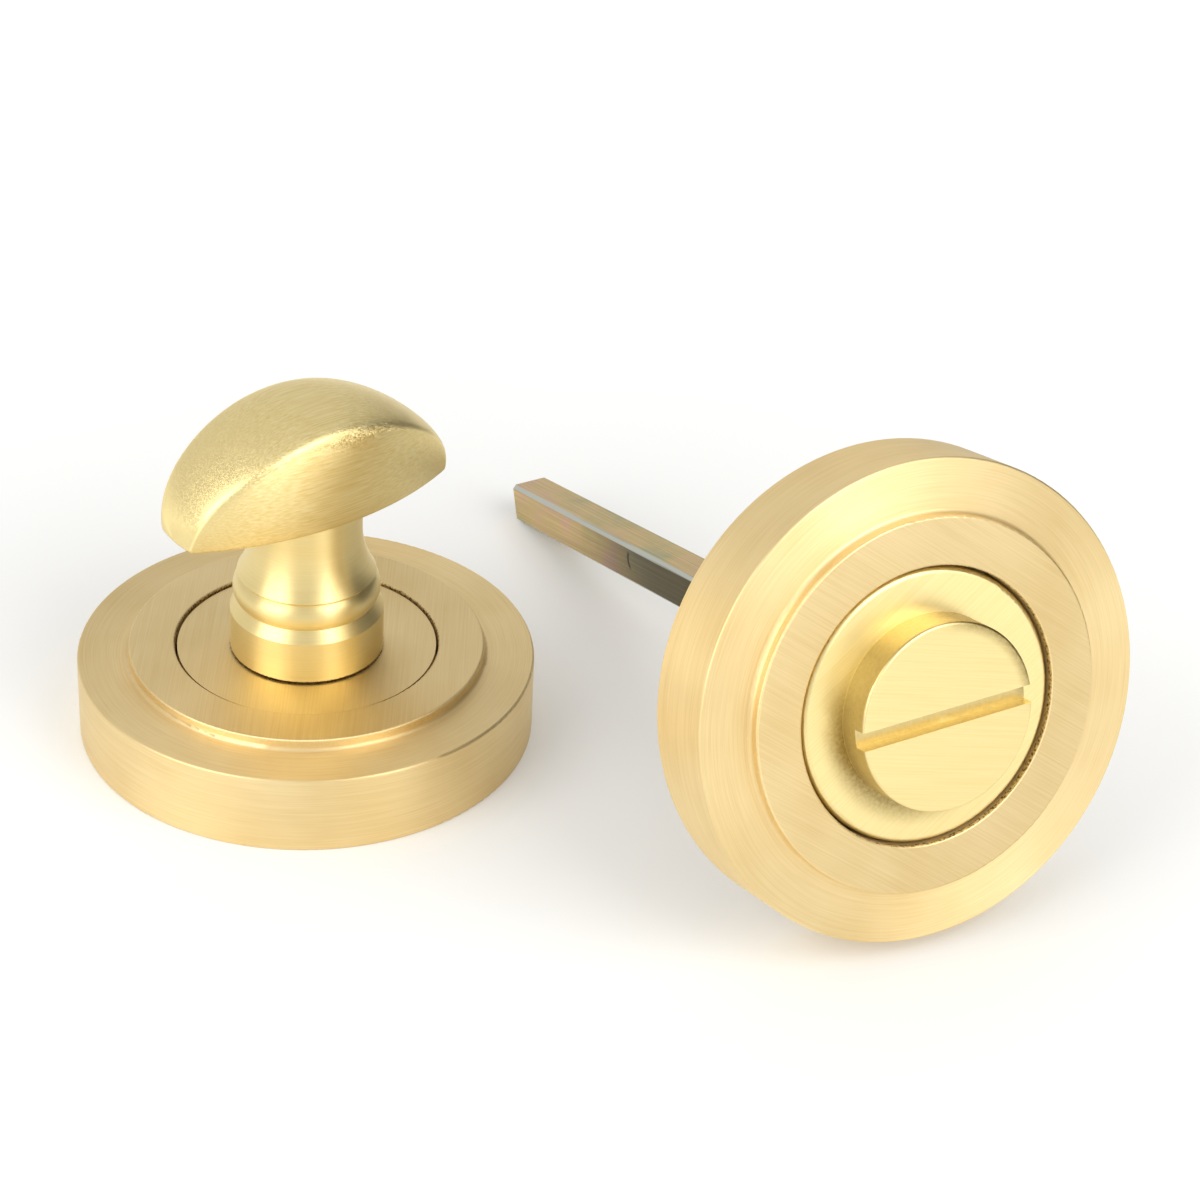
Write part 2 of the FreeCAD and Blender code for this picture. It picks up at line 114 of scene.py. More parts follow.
# Lathe rings and brushing are about 0.05 mm wide on the real brass, and are drawn wider so that they show
TURNED_LINE = 0.00016
TURNED_LENGTH = 0.008
BRUSHED_LINE = 0.0002
BRUSHED_LENGTH = 0.012
GROOVE_DEPTH = 0.00002


def lathe_rings(tree, own, radius, height):
    """Fine grooves round the axis, each of them a few millimetres long, and the way that they run."""
    around = add(tree, "ShaderNodeVectorMath", {0: own, "Scale": TURNED_LINE / TURNED_LENGTH},
                 operation="SCALE")
    shift = add(tree, "ShaderNodeSeparateXYZ", {"Vector": around.outputs["Vector"]}).outputs
    at = add(tree, "ShaderNodeCombineXYZ", {"X": radius, "Y": height, "Z": shift["X"]}).outputs["Vector"]
    rings = add(tree, "ShaderNodeTexNoise", {"Vector": at, "W": shift["Y"], "Scale": 1 / TURNED_LINE,
                                             "Detail": 2.0},
                noise_dimensions="4D").outputs["Fac"]
    way = add(tree, "ShaderNodeVectorMath", {0: (0, 0, 1), 1: own},
              operation="CROSS_PRODUCT").outputs["Vector"]
    return rings, way


def brushing(tree, own, angle):
    """Straight grooves at an angle to the half's X axis."""
    along = add(tree, "ShaderNodeMapping", {"Vector": own, "Rotation": (0, 0, angle),
                                            "Scale": (BRUSHED_LENGTH, BRUSHED_LINE, BRUSHED_LINE)},
                vector_type="TEXTURE").outputs["Vector"]
    return add(tree, "ShaderNodeTexNoise", {"Vector": along, "Scale": 1.0, "Detail": 3.0}).outputs["Fac"]


def straight(angle):
    """A level way at an angle to the half's X axis."""
    return math.cos(angle), math.sin(angle), 0


def grooved(tree, place, way):
    """The way that grooves run, turned from the half's own axes for the shader's tangent."""
    turned = add(tree, "ShaderNodeMapping", {"Vector": way, "Rotation": place[1]}, vector_type="VECTOR")
    return add(tree, "ShaderNodeVectorTransform", {"Vector": turned.outputs["Vector"]},
               vector_type="VECTOR", convert_from="OBJECT", convert_to="WORLD").outputs["Vector"]


RING_RADIUS = 0.0206
DARK_LINE_BACK = 0.0102
COLLAR_RADIUS = 0.00887
COVER_HOLE = 0.0153
ROSE_BRASS = "F4DDA9"
ROSE_BRASS_DEEP = "E7CC92"
GRIME_AND_SHADE = "5A4A30"
DARK_LINE_WIDTH = 0.00013
DARK_LINE_SPECK = 0.0003
CLOUD = 0.012


def rose_brass(name, place, brushed_angle, dark_line_radius):
    """Satin brass on a rose: turned rings on the wall and shoulder, which spread a highlight along the
    radius, and straight brushing on the flat front. A broken dark line where the next piece meets it is
    partly painted shade in the gap and partly grime."""
    material, tree = new_material(name)
    own, radius, height = about_axis(tree, place)
    rings, round_way = lathe_rings(tree, own, radius, height)
    brushed = brushing(tree, own, brushed_angle)
    inside = add(tree, "ShaderNodeMath", {0: radius, 1: RING_RADIUS}, operation="LESS_THAN").outputs[0]
    lines = add(tree, "ShaderNodeMix", {"Factor": inside, "A": rings, "B": brushed}).outputs["Result"]
    way = add(tree, "ShaderNodeMix", {"Factor": inside, "A": round_way, "B": straight(brushed_angle)},
              data_type="VECTOR").outputs["Result"]
    cloud = add(tree, "ShaderNodeTexNoise", {"Vector": own, "Scale": 1 / CLOUD,
                                             "Detail": 2.0}).outputs["Fac"]
    mixed = add(tree, "ShaderNodeMath", {0: lines, 1: cloud}, operation="ADD").outputs[0]
    tone = add(tree, "ShaderNodeMapRange", {"Value": mixed, "From Min": 0.7,
                                            "From Max": 1.3}).outputs["Result"]
    metal = add(tree, "ShaderNodeMix", {"Factor": tone, "A": linear(ROSE_BRASS_DEEP),
                                        "B": linear(ROSE_BRASS)},
                data_type="RGBA").outputs["Result"]
    # A dark ring where the next piece meets this one: painted shade in the gap, broken by specks of grime
    off = add(tree, "ShaderNodeMath", {0: radius, 1: dark_line_radius}, operation="SUBTRACT").outputs[0]
    apart = add(tree, "ShaderNodeMath", {0: off}, operation="ABSOLUTE").outputs[0]
    close = add(tree, "ShaderNodeMapRange", {"Value": apart, "From Min": 0.0, "From Max": DARK_LINE_WIDTH,
                                             "To Min": 1.0, "To Max": 0.0}).outputs["Result"]
    specks = add(tree, "ShaderNodeTexNoise", {"Vector": own, "Scale": 1 / DARK_LINE_SPECK,
                                              "Detail": 2.0}).outputs["Fac"]
    broken = add(tree, "ShaderNodeMapRange", {"Value": specks, "From Min": 0.45,
                                              "From Max": 0.65}).outputs["Result"]
    in_front = add(tree, "ShaderNodeMath", {0: height, 1: DARK_LINE_BACK}, operation="GREATER_THAN").outputs[0]
    line = add(tree, "ShaderNodeMath", {0: close, 1: in_front}, operation="MULTIPLY").outputs[0]
    dirt_and_shade = add(tree, "ShaderNodeMath", {0: line, 1: broken}, operation="MULTIPLY").outputs[0]
    colour = add(tree, "ShaderNodeMix", {"Factor": dirt_and_shade, "A": metal, "B": linear(GRIME_AND_SHADE)},
                 data_type="RGBA").outputs["Result"]
    rough = add(tree, "ShaderNodeMapRange", {"Value": lines, "To Min": 0.42,
                                             "To Max": 0.54}).outputs["Result"]
    bump = add(tree, "ShaderNodeBump", {"Height": lines, "Strength": 0.1,
                                        "Distance": GROOVE_DEPTH}).outputs["Normal"]
    shader = add(tree, "ShaderNodeBsdfPrincipled", {
        "Base Color": colour, "Metallic": 1.0, "Roughness": rough, "Normal": bump,
        "Tangent": grooved(tree, place, way), "Anisotropic": 0.68, "Anisotropic Rotation": 0.25,
    })
    add(tree, "ShaderNodeOutputMaterial", {"Surface": shader.outputs[0]})
    return material


THUMB_BRUSHED = math.radians(52.6)
RELEASE_BRUSHED = math.radians(-40)
finish_with(rose_brass("satin_brass_thumb_rose", THUMB_PLACE, THUMB_BRUSHED, COVER_HOLE),
            "thumb_rose_cover")
finish_with(rose_brass("satin_brass_release_rose", RELEASE_PLACE, RELEASE_BRUSHED, COVER_HOLE),
            "release_rose_cover")

# Base plates: turned brass with a threaded rim, held to the door by two countersunk screws. The thumb
# plate's boss fills the cover's hole and is brushed with it.
finish_with(rose_brass("satin_brass_thumb_plate", THUMB_PLACE, THUMB_BRUSHED, COLLAR_RADIUS),
            "thumb_base_plate")
finish_with(rose_brass("satin_brass_release_plate", RELEASE_PLACE, RELEASE_BRUSHED, COLLAR_RADIUS),
            "release_base_plate")

# Bushes: flanged sleeves that the tails of both turns run in, so that brass doesn't rub on brass. They
# are moulded in natural nylon and pressed into the plates.
NYLON = "E4E0D0"
NYLON_SHADE = "D6CFB8"
NYLON_CLOUD = 0.005
MOULD_GRAIN = 0.0002
MOULD_DEPTH = 0.00002
material, tree = new_material("moulded_natural_nylon")
where = add(tree, "ShaderNodeTexCoord").outputs["Object"]
# Milky plastic, a little uneven in tone, with the fine spark-eroded grain of its mould
cloud = add(tree, "ShaderNodeTexNoise", {"Vector": where, "Scale": 1 / NYLON_CLOUD,
                                         "Detail": 2.0}).outputs["Fac"]
colour = add(tree, "ShaderNodeMix", {"Factor": cloud, "A": linear(NYLON), "B": linear(NYLON_SHADE)},
             data_type="RGBA").outputs["Result"]
grain = add(tree, "ShaderNodeTexNoise", {"Vector": where, "Scale": 1 / MOULD_GRAIN,
                                         "Detail": 2.0}).outputs["Fac"]
bump = add(tree, "ShaderNodeBump", {"Height": grain, "Strength": 0.1,
                                    "Distance": MOULD_DEPTH}).outputs["Normal"]
shader = add(tree, "ShaderNodeBsdfPrincipled", {"Base Color": colour, "Roughness": 0.45, "IOR": 1.53,
                                                "Normal": bump})
add(tree, "ShaderNodeOutputMaterial", {"Surface": shader.outputs[0]})
finish_with(material, "thumb_bush", "release_bush")

# Washers, circlips and the grub screw: hardened spring steel, blackened in oil. Pressing and hardening
# leave a brown tint in the black.
BLACKENED = "4A4A4E"
BROWN_TINT = "5C5046"
TINT_PATCH = 0.003
material, tree = new_material("oil_blackened_spring_steel")
where = add(tree, "ShaderNodeTexCoord").outputs["Object"]
tint = add(tree, "ShaderNodeTexNoise", {"Vector": where, "Scale": 1 / TINT_PATCH,
                                        "Detail": 3.0}).outputs["Fac"]
colour = add(tree, "ShaderNodeMix", {"Factor": tint, "A": linear(BLACKENED), "B": linear(BROWN_TINT)},
             data_type="RGBA").outputs["Result"]
rough = add(tree, "ShaderNodeMapRange", {"Value": tint, "To Min": 0.3, "To Max": 0.5}).outputs["Result"]
shader = add(tree, "ShaderNodeBsdfPrincipled", {"Base Color": colour, "Metallic": 1.0, "Roughness": rough})
add(tree, "ShaderNodeOutputMaterial", {"Surface": shader.outputs[0]})
finish_with(material, "thumb_thrust_washer", "thumb_spring_washer", "thumb_circlip")
finish_with(material, "release_thrust_washer", "release_spring_washer", "release_circlip",
            "spindle_grub_screw")

# Thumb turn: one piece of a yellower brass than the roses. Collar and neck are left from the lathe, and
# the knob's dome and flanks are rubbed by hand with fine abrasive along their length.
TAIL_RADIUS = 0.006
TAIL_END = 0.0005
CLIP_GROOVE = (0.00107, 0.00213, 0.0057)
COLLAR_BACK = 0.0107
COLLAR_TOP = 0.0157
COLLAR_SHOULDER = (0.008, 0.0171)
BEAD_TOP = (0.0077, 0.0202)
BEAD_ROUND = 0.0022
BELL_FOOT = (0.008, 0.0206)
BELL_TOP = (0.0064, 0.0262)
BELL_SWEEP = 0.0106
KNOB_BASE = 0.0295
KNOB_RADIUS = 0.01735
KNOB_CORNER = 0.0006
KNOB_TOP = 0.04275
DOME_TURN = (0.01486, 0.03636)
DOME_SIDE = 0.0091
DOME_CROWN = 0.02046
FLANK_PIVOT = 0.0314
FLANK_EDGE = 0.00695
FLANK_BULGE = 0.0009
FLANK_MIDDLE = 0.0353
FLANK_REACH = 0.0058
FLANK_FOOT = 0.0004
CREASE_SOFT = 0.0009
FOOT_SOFT = 0.0002
SOCKET_HALF = 0.00255
SOCKET_TOP = 0.0245
SOCKET_LAND = 0.0045
ROUND_STEPS = 256
BEAD_STEPS = 16
BELL_STEPS = 24
CORNER_STEPS = 8
SIDE_STEPS = 36
CROWN_STEPS = 40
TOUCHING = 1e-7
SHARP_EDGE = math.radians(30)


def arc(start, finish, radius, side, steps):
    """Points after start, up to finish, on a circle with its centre on the left of the way for side 1."""
    start, finish = Vector(start), Vector(finish)
    way = finish - start
    aside = Vector((-way.y, way.x)).normalized() * side
    centre = (start + finish) / 2 + aside * math.sqrt(radius**2 - (way.length / 2) ** 2)
    first, last = (math.atan2(point.y - centre.y, point.x - centre.x) for point in (start, finish))
    sweep = (last - first + math.pi) % (2 * math.pi) - math.pi
    angles = [first + sweep * step / steps for step in range(1, steps + 1)]
    return [(centre.x + radius * math.cos(angle), centre.y + radius * math.sin(angle)) for angle in angles]


groove_back, groove_front, groove_radius = CLIP_GROOVE
knob_rim = (KNOB_RADIUS - KNOB_CORNER, KNOB_BASE)
knob_side = (KNOB_RADIUS, KNOB_BASE + KNOB_CORNER)
profile = [
    (SOCKET_LAND, TAIL_END),
    (TAIL_RADIUS, TAIL_END),
    (TAIL_RADIUS, groove_back),
    (groove_radius, groove_back),
    (groove_radius, groove_front),
    (TAIL_RADIUS, groove_front),
    (TAIL_RADIUS, COLLAR_BACK),
    (COLLAR_RADIUS, COLLAR_BACK),
    (COLLAR_RADIUS, COLLAR_TOP),
    COLLAR_SHOULDER,
    *arc(COLLAR_SHOULDER, BEAD_TOP, BEAD_ROUND, 1, BEAD_STEPS),
    BELL_FOOT,
    *arc(BELL_FOOT, BELL_TOP, BELL_SWEEP, -1, BELL_STEPS),
    (BELL_TOP[0], KNOB_BASE),
    knob_rim,
    *arc(knob_rim, knob_side, KNOB_CORNER, 1, CORNER_STEPS),
    *arc(knob_side, DOME_TURN, DOME_SIDE, 1, SIDE_STEPS),
    *arc(DOME_TURN, (0, KNOB_TOP), DOME_CROWN, 1, CROWN_STEPS),
]
shape = bmesh.new()
corners = [shape.verts.new((across, 0, up)) for across, up in profile]
outline = [shape.edges.new(pair) for pair in zip(corners, corners[1:])]
bmesh.ops.spin(shape, geom=corners + outline, axis=(0, 0, 1), cent=(0, 0, 0), angle=2 * math.pi,
               steps=ROUND_STEPS, use_merge=True)
bmesh.ops.remove_doubles(shape, verts=shape.verts, dist=TOUCHING)
# A square socket for the spindle in the end of the tail
rim = [edge for edge in shape.edges if edge.is_boundary]
at_tail_end = Matrix.Translation((0, 0, TAIL_END)) @ Matrix.Rotation(math.pi / 4, 4, "Z")
square = bmesh.ops.create_circle(shape, segments=4, radius=SOCKET_HALF * math.sqrt(2), matrix=at_tail_end)
sides = list({edge for corner in square["verts"] for edge in corner.link_edges})
bmesh.ops.subdivide_edges(shape, edges=sides, cuts=ROUND_STEPS // 4 - 1)
sides = [edge for edge in shape.edges if edge.is_wire]
bmesh.ops.bridge_loops(shape, edges=rim + sides)
walls = bmesh.ops.extrude_edge_only(shape, edges=sides)["geom"]
raised = [piece for piece in walls if isinstance(piece, bmesh.types.BMVert)]
bmesh.ops.translate(shape, verts=raised, vec=(0, 0, SOCKET_TOP - TAIL_END))
wall_edges = [piece for piece in walls if isinstance(piece, bmesh.types.BMEdge)]
bmesh.ops.edgeloop_fill(shape, edges=[edge for edge in wall_edges if edge.is_boundary])
# Two flanks pressed into the dome: each is round in plan about an upright line on the far side and swells
# a little at half height, and the crease where it meets the dome is soft
for point in shape.verts:
    up = point.co.z - KNOB_BASE
    if up < -TOUCHING:
        continue
    swell = FLANK_BULGE * (1 - ((point.co.z - FLANK_MIDDLE) / FLANK_REACH) ** 2)
    under = max(FLANK_FOOT - up, 0)
    foot = FLANK_FOOT - math.sqrt(FLANK_FOOT**2 - under**2)
    out = FLANK_PIVOT + FLANK_EDGE + swell - foot
    flank = math.sqrt(out**2 - point.co.x**2) - FLANK_PIVOT
    soft = FOOT_SOFT + (CREASE_SOFT - FOOT_SOFT) * min(up / FLANK_REACH, 1)
    along = abs(point.co.y)
    kept = (along + flank - math.sqrt((along - flank) ** 2 + soft**2)) / 2
    point.co.y = math.copysign(max(kept, 0), point.co.y)
bmesh.ops.recalc_face_normals(shape, faces=shape.faces)
mesh = bpy.data.meshes.new("thumb_turn_form")
shape.to_mesh(mesh)
shape.free()
mesh.polygons.foreach_set("use_smooth", [True] * len(mesh.polygons))
mesh.set_sharp_from_angle(angle=SHARP_EDGE)
thumb_form = bpy.data.objects.new("thumb_turn_form", mesh)
scene.collection.objects.link(thumb_form)
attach(thumb_form, "thumb_turn")
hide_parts("thumb_turn")

# Scratches and swirls are about 0.05 mm wide on the real knob, and are drawn wider so that they show
TURN_BRASS = "F6E4AC"
TURN_BRASS_DEEP = "E8D08A"
SCRATCH = 0.00018
SCRATCH_LENGTH = 0.007
SWIRL = 0.0002
FACE_MARGIN = 0.0001

material, tree = new_material("hand_rubbed_brass_thumb_turn")
own, radius, height = about_axis(tree, THUMB_PLACE)
rings, round_way = lathe_rings(tree, own, radius, height)
along = add(tree, "ShaderNodeMapping", {"Vector": own, "Scale": (SCRATCH_LENGTH, SCRATCH, SCRATCH)},
            vector_type="TEXTURE").outputs["Vector"]
scratches = add(tree, "ShaderNodeTexNoise", {"Vector": along, "Scale": 1.0, "Detail": 3.0}).outputs["Fac"]
on_knob = add(tree, "ShaderNodeMath", {0: height, 1: KNOB_BASE - FACE_MARGIN},
              operation="GREATER_THAN").outputs[0]
face = add(tree, "ShaderNodeTexCoord").outputs["Normal"]
face_way = add(tree, "ShaderNodeSeparateXYZ", {"Vector": face}).outputs
face_end = add(tree, "ShaderNodeMath", {0: face_way["X"]}, operation="ABSOLUTE").outputs[0]
end_on = add(tree, "ShaderNodeMapRange", {"Value": face_end, "From Min": 0.3,
                                          "From Max": 0.7}).outputs["Result"]
worn = add(tree, "ShaderNodeMix", {"Factor": end_on, "A": scratches, "B": 0.5}).outputs["Result"]
calm = add(tree, "ShaderNodeMapRange", {"Value": rings, "To Min": 0.35, "To Max": 0.65}).outputs["Result"]
lines = add(tree, "ShaderNodeMix", {"Factor": on_knob, "A": calm, "B": worn}).outputs["Result"]
on_dome = add(tree, "ShaderNodeMapRange", {"Value": face_way["Z"], "From Min": 0.15,
                                           "From Max": 0.35}).outputs["Result"]
swirl = add(tree, "ShaderNodeTexNoise", {"Vector": own, "Scale": 1 / SWIRL, "Detail": 1.0}).outputs["Color"]
any_way = add(tree, "ShaderNodeVectorMath", {0: swirl, 1: (0.5, 0.5, 0.5)},
              operation="SUBTRACT").outputs["Vector"]
knob_way = add(tree, "ShaderNodeMix", {"Factor": on_dome, "A": (1, 0, 0), "B": any_way},
               data_type="VECTOR").outputs["Result"]
way = add(tree, "ShaderNodeMix", {"Factor": on_knob, "A": round_way, "B": knob_way},
          data_type="VECTOR").outputs["Result"]
tone = add(tree, "ShaderNodeMapRange", {"Value": lines, "From Min": 0.3, "From Max": 0.7}).outputs["Result"]
metal = add(tree, "ShaderNodeMix", {"Factor": tone, "A": linear(TURN_BRASS_DEEP), "B": linear(TURN_BRASS)},
            data_type="RGBA").outputs["Result"]
# A broken dark line at the collar's foot: painted shade in the gap there, with specks of grime
close = add(tree, "ShaderNodeMapRange", {"Value": height, "From Min": COLLAR_BACK,
                                         "From Max": COLLAR_BACK + DARK_LINE_WIDTH,
                                         "To Min": 1.0, "To Max": 0.0}).outputs["Result"]
specks = add(tree, "ShaderNodeTexNoise", {"Vector": own, "Scale": 1 / DARK_LINE_SPECK,
                                          "Detail": 2.0}).outputs["Fac"]
broken = add(tree, "ShaderNodeMapRange", {"Value": specks, "From Min": 0.45,
                                          "From Max": 0.65}).outputs["Result"]
dirt_and_shade = add(tree, "ShaderNodeMath", {0: close, 1: broken}, operation="MULTIPLY").outputs[0]
colour = add(tree, "ShaderNodeMix", {"Factor": dirt_and_shade, "A": metal, "B": linear(GRIME_AND_SHADE)},
             data_type="RGBA").outputs["Result"]
rough = add(tree, "ShaderNodeMapRange", {"Value": lines, "To Min": 0.34, "To Max": 0.44}).outputs["Result"]
bump = add(tree, "ShaderNodeBump", {"Height": lines, "Strength": 0.22,
                                    "Distance": GROOVE_DEPTH}).outputs["Normal"]
shader = add(tree, "ShaderNodeBsdfPrincipled", {
    "Base Color": colour, "Metallic": 1.0, "Roughness": rough, "Normal": bump,
    "Tangent": grooved(tree, THUMB_PLACE, way), "Anisotropic": 0.8, "Anisotropic Rotation": 0.25,
})
add(tree, "ShaderNodeOutputMaterial", {"Surface": shader.outputs[0]})
finish_with(material, "thumb_turn")
thumb_form.data.materials.append(material)

# Coin release: the same yellow brass, turned with a boss that a coin's edge fits. The disc and the boss
# are brushed at different slants, and handling has left a dull bloom at the boss's rim. The boss's
# upright walls and the disc beside its foot are darkened as painted shade.
COIN_RADIUS = 0.0103
DISC_FACE = 0.01045
COIN_FACE = 0.0146
DISC_BRUSHED = math.radians(30)
BOSS_BRUSHED = math.radians(-17)
RIM_BLOOM_AT = math.radians(40)
FOOT_SHADE_AT = math.radians(222)
BLOOM_AND_SHADE = "9A8450"
DARKENING_GRAIN = 0.0004
RIM_BLOOM_WIDTH = 0.0016
FOOT_SHADE_WIDTH = 0.0032
WALL_SHADE = 0.4

material, tree = new_material("brushed_brass_coin_release")
own, radius, height = about_axis(tree, RELEASE_PLACE)
rings, round_way = lathe_rings(tree, own, radius, height)
on_boss = add(tree, "ShaderNodeMath", {0: radius, 1: COIN_RADIUS}, operation="LESS_THAN").outputs[0]
flat_lines = add(tree, "ShaderNodeMix", {"Factor": on_boss, "A": brushing(tree, own, DISC_BRUSHED),
                                         "B": brushing(tree, own, BOSS_BRUSHED)}).outputs["Result"]
flat_way = add(tree, "ShaderNodeMix", {"Factor": on_boss, "A": straight(DISC_BRUSHED),
                                       "B": straight(BOSS_BRUSHED)},
               data_type="VECTOR").outputs["Result"]
below_face = add(tree, "ShaderNodeMath", {0: height, 1: COIN_FACE - FACE_MARGIN},
                 operation="LESS_THAN").outputs[0]
above_disc = add(tree, "ShaderNodeMath", {0: height, 1: DISC_FACE + FACE_MARGIN},
                 operation="GREATER_THAN").outputs[0]
on_wall = add(tree, "ShaderNodeMath", {0: below_face, 1: above_disc}, operation="MULTIPLY").outputs[0]
lines = add(tree, "ShaderNodeMix", {"Factor": on_wall, "A": flat_lines, "B": rings}).outputs["Result"]
way = add(tree, "ShaderNodeMix", {"Factor": on_wall, "A": flat_way, "B": round_way},
          data_type="VECTOR").outputs["Result"]
metal = add(tree, "ShaderNodeMix", {"Factor": lines, "A": linear(TURN_BRASS_DEEP), "B": linear(TURN_BRASS)},
            data_type="RGBA").outputs["Result"]
level = add(tree, "ShaderNodeVectorMath", {0: own, 1: (1, 1, 0)}, operation="MULTIPLY").outputs["Vector"]
outwards = add(tree, "ShaderNodeVectorMath", {0: level}, operation="NORMALIZE").outputs["Vector"]
fuzz = add(tree, "ShaderNodeTexNoise", {"Vector": own, "Scale": 1 / DARKENING_GRAIN,
                                        "Detail": 3.0}).outputs["Fac"]
rim_side = add(tree, "ShaderNodeVectorMath", {0: outwards, 1: straight(RIM_BLOOM_AT)},
               operation="DOT_PRODUCT").outputs["Value"]
rim_share = add(tree, "ShaderNodeMapRange", {"Value": rim_side, "From Min": 0.6, "From Max": 0.95},
                interpolation_type="SMOOTHSTEP").outputs["Result"]
rim_near = add(tree, "ShaderNodeMapRange", {"Value": radius, "From Min": COIN_RADIUS - RIM_BLOOM_WIDTH,
                                            "From Max": COIN_RADIUS},
               interpolation_type="SMOOTHSTEP").outputs["Result"]
rim = add(tree, "ShaderNodeMath", {0: rim_share, 1: rim_near}, operation="MULTIPLY").outputs[0]
rim_bloom = add(tree, "ShaderNodeMath", {0: rim, 1: on_boss}, operation="MULTIPLY").outputs[0]
# Painted shade on the disc beside one side of the boss's foot
foot_side = add(tree, "ShaderNodeVectorMath", {0: outwards, 1: straight(FOOT_SHADE_AT)},
                operation="DOT_PRODUCT").outputs["Value"]
foot_share = add(tree, "ShaderNodeMapRange", {"Value": foot_side, "From Min": 0.2, "From Max": 0.85},
                 interpolation_type="SMOOTHSTEP").outputs["Result"]
foot_near = add(tree, "ShaderNodeMapRange", {"Value": radius, "From Min": COIN_RADIUS,
                                             "From Max": COIN_RADIUS + FOOT_SHADE_WIDTH,
                                             "To Min": 1.0, "To Max": 0.0},
                interpolation_type="SMOOTHSTEP").outputs["Result"]
foot = add(tree, "ShaderNodeMath", {0: foot_share, 1: foot_near}, operation="MULTIPLY").outputs[0]
off_boss = add(tree, "ShaderNodeMath", {0: 1.0, 1: on_boss}, operation="SUBTRACT").outputs[0]
foot_shade = add(tree, "ShaderNodeMath", {0: foot, 1: off_boss}, operation="MULTIPLY").outputs[0]
edges = add(tree, "ShaderNodeMath", {0: rim_bloom, 1: foot_shade}, operation="ADD").outputs[0]
# The boss's upright walls are darkened as painted shade, on top of the rim's bloom and the foot's painted
# shade
bloom_and_shade = add(tree, "ShaderNodeMath", {0: on_wall, 1: WALL_SHADE, 2: edges}, operation="MULTIPLY_ADD",
            use_clamp=True).outputs[0]
grainy = add(tree, "ShaderNodeMapRange", {"Value": fuzz, "From Min": 0.3, "From Max": 0.7,
                                          "To Min": 0.7, "To Max": 1.0}).outputs["Result"]
darkening = add(tree, "ShaderNodeMath", {0: bloom_and_shade, 1: grainy}, operation="MULTIPLY").outputs[0]
colour = add(tree, "ShaderNodeMix", {"Factor": darkening, "A": metal, "B": linear(BLOOM_AND_SHADE)},
             data_type="RGBA").outputs["Result"]
rough = add(tree, "ShaderNodeMapRange", {"Value": lines, "To Min": 0.3, "To Max": 0.42}).outputs["Result"]
bump = add(tree, "ShaderNodeBump", {"Height": lines, "Strength": 0.1,
                                    "Distance": GROOVE_DEPTH}).outputs["Normal"]
shader = add(tree, "ShaderNodeBsdfPrincipled", {
    "Base Color": colour, "Metallic": 1.0, "Roughness": rough, "Normal": bump,
    "Tangent": grooved(tree, RELEASE_PLACE, way), "Anisotropic": 0.5, "Anisotropic Rotation": 0.25,
})
add(tree, "ShaderNodeOutputMaterial", {"Surface": shader.outputs[0]})
finish_with(material, "release_turn")

# Spindle: drawn square steel bar, zinc plated and yellow passivated, held in the release by the grub
# screw. The thin film plays in gold, pink and green, is rubbed to bare zinc on the corners, and keeps the
# lines of drawing.
SPINDLE_FLAT = 0.00205
# Drawing lines are about 0.05 mm wide on the real bar, and are drawn wider so that they show
SPINDLE_LINE = 0.00025
SPINDLE_LENGTH = 0.02
DRAWN_DEPTH = 0.00003
FILM_PATCH = 0.007
SHADE_FROM = -0.072
SHADE_FULL = -0.045
RUB_RAGGED = 0.0004
RUB_FROM = 0.00015
RUB_FULL = 0.0003
ZINC = "C6C8BE"
SHADE_ON_FILM = "6E6852"
SCORE = "3C3628"
SCORE_AT = (-0.0025, 0.0005, -0.0536)
SCORE_ROUND = 0.0016
SCORE_CENTRE = Vector(SCORE_AT) + Vector((0, 0.0001, SCORE_ROUND))
SCORE_DARK = 0.0001
SCORE_FADED = 0.00035
SCORE_REACH = 0.0008
SCORE_END = 0.0013

material, tree = new_material("yellow_passivated_zinc")
own, radius, height = about_axis(tree, RELEASE_PLACE)
patches = add(tree, "ShaderNodeTexNoise", {"Vector": own, "Scale": 1 / FILM_PATCH,
                                           "Detail": 3.0}).outputs["Fac"]
film = add(tree, "ShaderNodeValToRGB", {"Fac": patches})
stops = film.color_ramp.elements
stops[0].position, stops[0].color = 0.3, linear("A3A886")
stops[1].position, stops[1].color = 0.72, linear("D3AC98")
for place, tint in ((0.42, "C6B27C"), (0.55, "D0B680"), (0.63, "D2B486")):
    stops.new(place).color = linear(tint)
drawn = add(tree, "ShaderNodeMapping", {"Vector": own,
                                        "Scale": (SPINDLE_LINE, SPINDLE_LINE, SPINDLE_LENGTH)},
            vector_type="TEXTURE").outputs["Vector"]
lines = add(tree, "ShaderNodeTexNoise", {"Vector": drawn, "Scale": 1.0, "Detail": 3.0}).outputs["Fac"]
streak = add(tree, "ShaderNodeMapRange", {"Value": lines, "From Min": 0.35, "From Max": 0.65,
                                          "To Min": 0.8, "To Max": 1.1}).outputs["Result"]
across = add(tree, "ShaderNodeSeparateXYZ", {"Vector": own}).outputs["X"]
